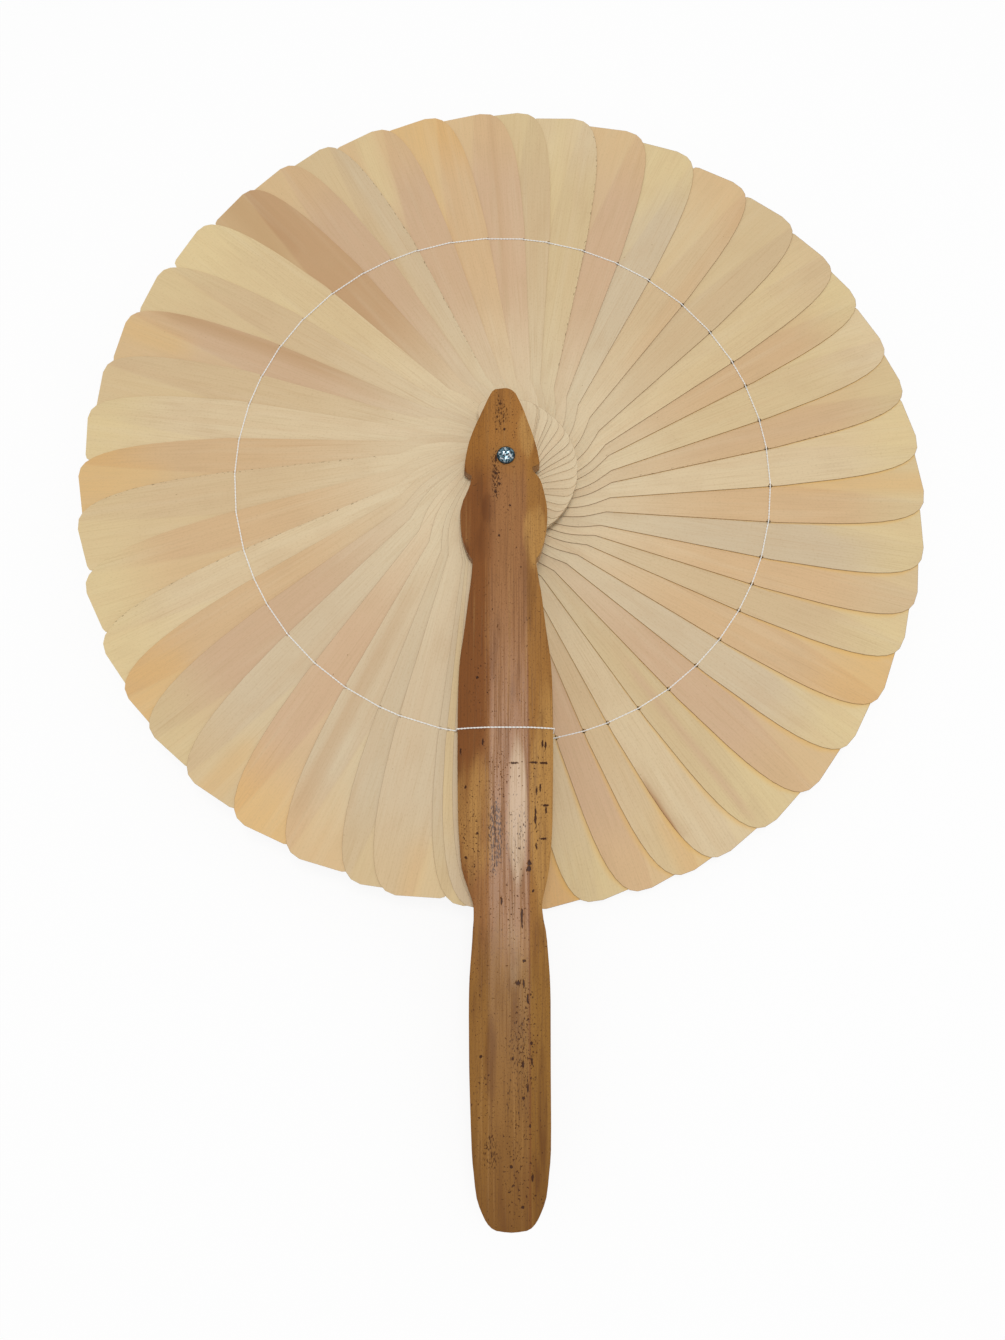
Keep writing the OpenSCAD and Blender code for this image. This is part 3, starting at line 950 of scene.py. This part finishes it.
@dataclass
class Guard:
    """One carved bamboo guard: rounded edges, and a skin that the knife left slightly uneven."""

    node: str
    body: str
    finish: bpy.types.Material
    skin_up: bool
    pivot: Pivot
    edge_round_mm: float = 0.4
    cross_cut_mm: float = 2.0
    long_cut_mm: float = 1.25
    uneven_mm: float = 0.12
    swell_w_mm: float = 9.0
    swell_l_mm: float = 22.0
    swell_start: float = 3.7
    flat_within_mm: float = 0.1

    pocked = (
        Patch(-2.6, -15, 2.2, 11, 0.75),
        Patch(2.6, -12, 2.4, 9, 0.45),
        Patch(-3.4, 9, 2.2, 10, 0.8),
        Patch(1.4, 16, 3, 10, 0.35),
        Patch(-8, 80, 5, 26, 0.3),
        Patch(-11, 128, 5, 20, 0.6),
        Patch(-2, 110, 5, 14, 0.45),
        Patch(10.5, 116, 4, 24, 0.35),
        Patch(3, 148, 6, 16, 0.3),
        Patch(6, 188, 5, 22, 0.75),
        Patch(-9, 178, 4, 26, 0.25),
        Patch(4, 222, 7, 20, 0.6),
        Patch(-7, 206, 5, 16, 0.4),
    )
    stained = (
        Patch(-6.2, 19, 3.2, 9, 0.7),
        Patch(-13.6, 36, 2, 9, 0.8),
        Patch(-14.4, 4, 1.6, 3, 0.9),
        Patch(-18.6, 18, 2.8, 22, 1.0),
        Patch(-15.8, -4, 2.6, 10, 1.0),
        Patch(-8, 31, 4, 12, 0.5),
        Patch(-5.5, 90, 2.5, 12, 0.3),
        Patch(10.8, 205, 2.4, 28, 0.7),
        Patch(-4.5, 194, 3.2, 22, 0.65),
        Patch(-10.6, 150, 2, 26, 0.6),
        Patch(6, 226, 6, 12, 0.6),
    )
    golden = (
        Patch(7, -8, 4, 12, 0.7),
        Patch(10, 28, 6, 16, 0.7),
        Patch(-10, 122, 9, 34, 0.5),
        Patch(12, 196, 4, 40, 0.5),
        Patch(12.6, 118, 7, 50, 0.85),
        Patch(5, 175, 7, 34, 0.4),
    )
    # Where the highlight is painted on the crest
    glazed = (
        Patch(3.6, 120, 4.2, 34, 1.0),
        Patch(2.5, 158, 3.4, 22, 0.5),
    )
    rubbed = (
        Patch(-3.4, 128, 3.4, 17, 0.66),
        Patch(3.0, 126, 7, 14, 0.3),
        Patch(-4.5, 219, 3.4, 8, 0.5),
        Patch(-3.4, 6, 2, 14, 0.6),
        Patch(-1.8, -16, 3.4, 9, 0.5),
        Patch(3.4, 190, 5, 12, 0.36),
        Patch(3.4, 204, 6, 10, 0.3),
    )

    def build(self) -> None:
        """Rounds the copy of the solid, marks and roughens its skin, and puts it on its body."""
        mesh = merged_copy(self.node)
        low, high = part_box(self.node)
        round_edges(mesh, self.edge_round_mm * MM, segments=3)
        for axis, cut_mm in ((Vector((0, 1, 0)), self.cross_cut_mm), (Vector((1, 0, 0)), self.long_cut_mm)):
            start, end = low.dot(axis), high.dot(axis)
            count = int((end - start) / (cut_mm * MM))
            cut_across(mesh, axis, [start + k * cut_mm * MM for k in range(1, count + 1)])
        for name in SKIN_MARKS:
            layer = mesh.verts.layers.float.new(name)
            for vert in mesh.verts:
                spot = (vert.co.x / MM, (self.pivot.y - vert.co.y) / MM)
                vert[layer] = max(patch.share(*spot) for patch in getattr(self, name))
        self.make_uneven(mesh, low.z if self.skin_up else high.z)
        piece = finish_piece(mesh, f"bamboo_{self.node}", self.body, self.finish)
        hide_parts(self.node)

    def make_uneven(self, mesh: BMesh, inner_z: float) -> None:
        """Presses the skin and the edges in by a little here and there, and leaves the inner face flat.

        Args:
            mesh: The guard's mesh.
            inner_z: The height of its inner face.
        """
        mesh.normal_update()
        moved = {}
        for vert in mesh.verts:
            if abs(vert.co.z - inner_z) < self.flat_within_mm * MM:
                continue
            x, y, z = vert.co / MM
            spot = (x / self.swell_w_mm, y / self.swell_l_mm, z / self.swell_w_mm + self.swell_start)
            share = noise.noise(Vector(spot)) * 0.5 + 0.5
            moved[vert] = vert.normal * (-share * self.uneven_mm * MM)
        for vert, shift in moved.items():
            vert.co += shift


@dataclass
class PivotSet:
    """The screw with its washer and nut, each with the fine rounding that pressing and plating leave."""

    finish: bpy.types.Material
    edge_round_mm: float = 0.12

    def build(self) -> None:
        """Builds the three steel pieces."""
        for node in ("pivot_screw", "screw_washer", "screw_nut"):
            mesh = merged_copy(node)
            round_edges(mesh, self.edge_round_mm * MM, segments=2)
            piece = finish_piece(mesh, f"zinc_{node}", "rear_stick", self.finish)
            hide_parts(node)


@dataclass
class Thread:
    """The white thread: a run on each leaf's face, and a turn over the front guard."""

    pivot: Pivot
    finish: bpy.types.Material
    ply_mm: float = 0.13
    twist_mm: float = 2.3
    plies: int = 2
    plies_reach: float = 1.85
    ply_sides: int = 6
    steps_a_turn: int = 10
    notch_x_mm: float = -13.86
    stitch_at_mm: float = 94.0
    leaf_t_mm: float = 0.28
    kept_when_shut: float = 0.04
    groove_y_mm: float = -94.5
    groove_d_mm: float = 0.7
    tucked_x_mm: float = 12.0
    culm_r_mm: float = 34.0
    crest_w_mm: float = 12.4
    crest_x_mm: float = 0.8
    flank_x_mm: float = 15.79
    shaft_shift_mm: float = -0.25
    bends_x_mm: tuple[float, ...] = (14, 11, 7.8, 5, 0, -3.4, -6.2, -11, -14.6)
    flank_h_mm: float = 2.6
    foot_h_mm: float = 0.6
    skin_air_mm: float = 0.05
    dip_mm: float = 0.3
    bend_mm: float = 0.5
    rear_bend_mm: float = 1.5
    steep: float = 0.9

    @property
    def radius(self) -> float:
        """Half the thread's thickness, in metres."""
        return self.ply_mm * MM * self.plies_reach

    def strand(self, length: float) -> BMesh:
        """Spins a straight length of twisted thread along X.

        Args:
            length: How long it is, in metres.

        Returns:
            Its plies, closed at both ends.
        """
        mesh = bmesh.new()
        steps = max(4, round(length / (self.twist_mm * MM) * self.steps_a_turn))
        upright = Matrix.Translation((0, 0, self.ply_mm * MM)) @ Matrix.Rotation(math.radians(90), 4, "Y")
        for ply in range(self.plies):
            ring = bmesh.ops.create_circle(mesh, segments=self.ply_sides, radius=self.ply_mm * MM)
            around = Matrix.Rotation(2 * math.pi * ply / self.plies, 4, "X")
            bmesh.ops.transform(mesh, matrix=around @ upright, verts=ring["verts"])
            edges = list(dict.fromkeys(e for v in ring["verts"] for e in v.link_edges))
            bmesh.ops.edgeloop_fill(mesh, edges=edges)
            spun = bmesh.ops.spin(
                mesh,
                geom=edges,
                cent=(0, 0, 0),
                axis=(1, 0, 0),
                dvec=(length / steps, 0, 0),
                angle=2 * math.pi * length / (self.twist_mm * MM),
                steps=steps,
                use_merge=False,
                use_duplicate=False,
            )
            last = [e for e in spun["geom_last"] if isinstance(e, bmesh.types.BMEdge)]
            bmesh.ops.edgeloop_fill(mesh, edges=last)
        bmesh.ops.recalc_face_normals(mesh, faces=mesh.faces)
        return mesh

    def laid(self, route: list[Vector]) -> BMesh:
        """Lays a twisted length along a route.

        Args:
            route: The points that its middle follows, in metres.

        Returns:
            The thread's mesh.
        """
        lengths = [0.0]
        for before, after in zip(route, route[1:]):
            lengths.append(lengths[-1] + (after - before).length)
        mesh = self.strand(lengths[-1])
        for vert in mesh.verts:
            gone = min(max(vert.co.x, 0.0), lengths[-1])
            k = max(i for i, total in enumerate(lengths[:-1]) if total <= gone + 1e-9)
            span = route[k + 1] - route[k]
            share = (gone - lengths[k]) / span.length
            ahead = route[min(k + 2, len(route) - 1)] - route[k + 1]
            behind = route[k] - route[max(k - 1, 0)]
            here = span.normalized()
            first = (here + behind.normalized()).normalized() if behind.length > 0 else here
            second = (here + ahead.normalized()).normalized() if ahead.length > 0 else here
            along = first.lerp(second, share).normalized()
            up = Vector((0, 1, 0)) if abs(along.z) > self.steep else Vector((0, 0, 1))
            side = along.cross(up).normalized()
            up = side.cross(along)
            vert.co = route[k] + span * share + side * vert.co.y + up * vert.co.z
        return mesh

    def notch(self, number: int, z: float) -> Vector:
        """Finds the notch in a leaf's edge.

        Args:
            number: The leaf's number.
            z: The height that the point is given.

        Returns:
            The point in the notch.
        """
        spot = Vector((self.notch_x_mm * MM, -self.stitch_at_mm * MM, 0))
        placed = self.pivot.placed(self.pivot.turns[number - 1], 0) @ spot
        return Vector((placed.x, placed.y, z))

    def face_z(self, number: int) -> float:
        """The height of the thread's middle on a leaf's face."""
        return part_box(f"leaf_{number:02d}")[0].z + self.leaf_t_mm * MM + self.radius

    def run(self, number: int, start: Vector, end: Vector) -> bpy.types.Object:
        """Lays one run on a leaf, from where it comes to the leaf's own notch.

        Args:
            number: The leaf's number.
            start: Where the run comes from.
            end: The leaf's own notch.

        Returns:
            The piece.
        """
        dip = Vector((0, 0, -self.dip_mm * MM))
        length = (end - start).length
        ahead = (end - start).normalized() * min(self.bend_mm * MM, length / 4)
        route = [start + dip * 0.2, start + ahead, (start + end) / 2, end - ahead, end + dip]
        name = f"thread_run_{number:02d}"
        piece = finish_piece(self.laid(route), name, f"slip_{number:02d}", self.finish)
        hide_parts("binding_thread")
        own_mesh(piece)
        return piece

    def over_guard(self) -> None:
        """Lays the turn over the front guard, with its end tucked into the groove under it."""
        low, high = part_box("front_guard")
        crest_h = math.sqrt(self.culm_r_mm**2 - self.crest_w_mm**2 / 4)
        lift = self.radius + self.skin_air_mm * MM
        left = (self.shaft_shift_mm - self.flank_x_mm) * MM
        right = (self.shaft_shift_mm + self.flank_x_mm) * MM
        groove_y = self.pivot.y + self.groove_y_mm * MM
        groove_z = low.z + self.groove_d_mm / 2 * MM
        y = self.notch(1, 0).y

        def over(x_mm: float) -> Vector:
            """A point just over the skin."""
            reach = math.sqrt((self.culm_r_mm + lift / MM) ** 2 - (x_mm - self.crest_x_mm) ** 2)
            return Vector((x_mm * MM, y, min(high.z + lift, high.z + (reach - crest_h) * MM)))

        route = [
            Vector((-self.tucked_x_mm * MM, groove_y, groove_z)),
            Vector((self.tucked_x_mm * MM, groove_y, groove_z)),
            Vector((right, groove_y, groove_z)),
            Vector((right, y, low.z + self.flank_h_mm * MM)),
            *[over(x) for x in (right / MM, *self.bends_x_mm, left / MM)],
            Vector((left, y, low.z + self.flank_h_mm * MM)),
            Vector((left, y, low.z + self.foot_h_mm * MM)),
        ]
        strand = self.laid(route)
        piece = finish_piece(strand, "thread_over_guard", "front_stick", self.finish)
        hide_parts("binding_thread")

    def rear_tail(self) -> None:
        """Lays the thread's end in the rear guard's groove."""
        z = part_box("rear_guard")[1].z - self.groove_d_mm / 2 * MM
        groove_y = self.pivot.y + self.groove_y_mm * MM
        last = self.notch(len(self.pivot.turns), z)
        bend = Vector((last.x + self.rear_bend_mm * MM, groove_y, z))
        route = [last, bend, Vector((self.tucked_x_mm * MM, groove_y, z))]
        piece = finish_piece(self.laid(route), "thread_rear_tail", "rear_stick", self.finish)
        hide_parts("binding_thread")

    def build(self) -> None:
        """Lays the whole thread."""
        self.over_guard()
        first_end = self.notch(1, self.face_z(1))
        left = (self.shaft_shift_mm - self.flank_x_mm) * MM
        self.run(1, Vector((left, first_end.y, first_end.z)), first_end)
        for number in range(2, len(self.pivot.turns) + 1):
            z = self.face_z(number)
            self.run(number, self.notch(number - 1, z), self.notch(number, z))
        self.rear_tail()


@dataclass
class Studio:
    """A white floor, soft light from above and all round, and the camera at the photograph's angle."""

    lens_mm: float = 26.6
    sensor_mm: float = 36.0
    camera_mm: tuple[float, float, float] = (-2.157, -100.43, 343.48)
    tilt_deg: float = 12.683
    yaw_deg: float = -0.185
    roll_deg: float = 0.006
    world_light: float = 0.7
    lamp_power: float = 4.0
    lamp_size: float = 0.3
    lamp_place: tuple[float, float, float] = (0.03, 0.0, 1.0)
    floor_half_m: float = 3.0
    floor_tone: str = "#FCFCFC"
    floor_glow: float = 0.88

    def floor(self) -> None:
        """Lays a white floor that shows as white and keeps the object's shadow."""
        mesh = bmesh.new()
        bmesh.ops.create_grid(mesh, x_segments=2, y_segments=2, size=self.floor_half_m)
        data = bpy.data.meshes.new("floor")
        mesh.to_mesh(data)
        mesh.free()
        material, tree = new_material("white_floor")
        paint = add(tree, "ShaderNodeBsdfDiffuse", {"Color": linear(self.floor_tone)}).outputs[0]
        white = add(tree, "ShaderNodeEmission", {"Strength": 1.0}).outputs[0]
        seen = add(tree, "ShaderNodeLightPath", {}).outputs["Is Camera Ray"]
        lit = {"operation": "MULTIPLY", 0: seen, 1: self.floor_glow}
        share = add(tree, "ShaderNodeMath", lit).outputs[0]
        both = add(tree, "ShaderNodeMixShader", {0: share, 1: paint, 2: white}).outputs[0]
        add(tree, "ShaderNodeOutputMaterial", {"Surface": both})
        data.materials.append(material)
        floor = bpy.data.objects.new("floor", data)
        bpy.context.scene.collection.objects.link(floor)

    def light(self) -> None:
        """Lights the object evenly, with one soft lamp overhead."""
        world = bpy.data.worlds.new("studio")
        bpy.context.scene.world = world
        world.use_nodes = True
        tree = world.node_tree
        tree.nodes.clear()
        seen = add(tree, "ShaderNodeLightPath", {}).outputs["Is Camera Ray"]
        rise = {0: seen, TO_LOW: self.world_light, TO_HIGH: 1.0}
        strength = add(tree, "ShaderNodeMapRange", rise).outputs[0]
        sky = add(tree, "ShaderNodeBackground", {"Strength": strength}).outputs[0]
        add(tree, "ShaderNodeOutputWorld", {"Surface": sky})
        lamp = bpy.data.lights.new("softbox", "AREA")
        lamp.shape = "DISK"
        lamp.size = self.lamp_size
        lamp.energy = self.lamp_power
        holder = bpy.data.objects.new("softbox", lamp)
        holder.location = self.lamp_place
        bpy.context.scene.collection.objects.link(holder)

    def camera(self) -> None:
        """Sets the camera."""
        lens = bpy.data.cameras.new("camera")
        lens.lens = self.lens_mm
        lens.sensor_width = self.sensor_mm
        lens.clip_start = 0.01
        holder = bpy.data.objects.new("camera", lens)
        holder.location = Vector(self.camera_mm) * MM
        turned = Matrix.Identity(4)
        for angle, axis in ((self.yaw_deg, "Y"), (self.tilt_deg, "X"), (self.roll_deg, "Z")):
            turned = turned @ Matrix.Rotation(math.radians(angle), 4, axis)
        holder.rotation_euler = turned.to_euler()
        bpy.context.scene.collection.objects.link(holder)
        bpy.context.scene.camera = holder

    def build(self) -> None:
        """Sets the stage."""
        self.camera()
        self.floor()
        self.light()
        bpy.context.scene.view_settings.view_transform = "Standard"


def main() -> None:
    """Builds the fan and its stage."""
    logging.basicConfig(level=logging.INFO, format="%(name)s: %(message)s")
    Studio().build()
    pivot = Pivot()
    LeafFan(pivot, DriedSheath().material()).build()
    front = LacqueredBamboo("lacquered_bamboo_front", pivot.y / MM).material()
    rear = LacqueredBamboo("lacquered_bamboo_rear", pivot.y / MM, tone="#946238").material()
    Guard("front_guard", "front_stick", front, skin_up=True, pivot=pivot).build()
    Guard("rear_guard", "rear_stick", rear, skin_up=False, pivot=pivot).build()
    PivotSet(ZincPlate(pivot.y / MM).material()).build()
    Thread(pivot, TwistedCotton().material()).build()


if __name__ == "__main__":
    main()
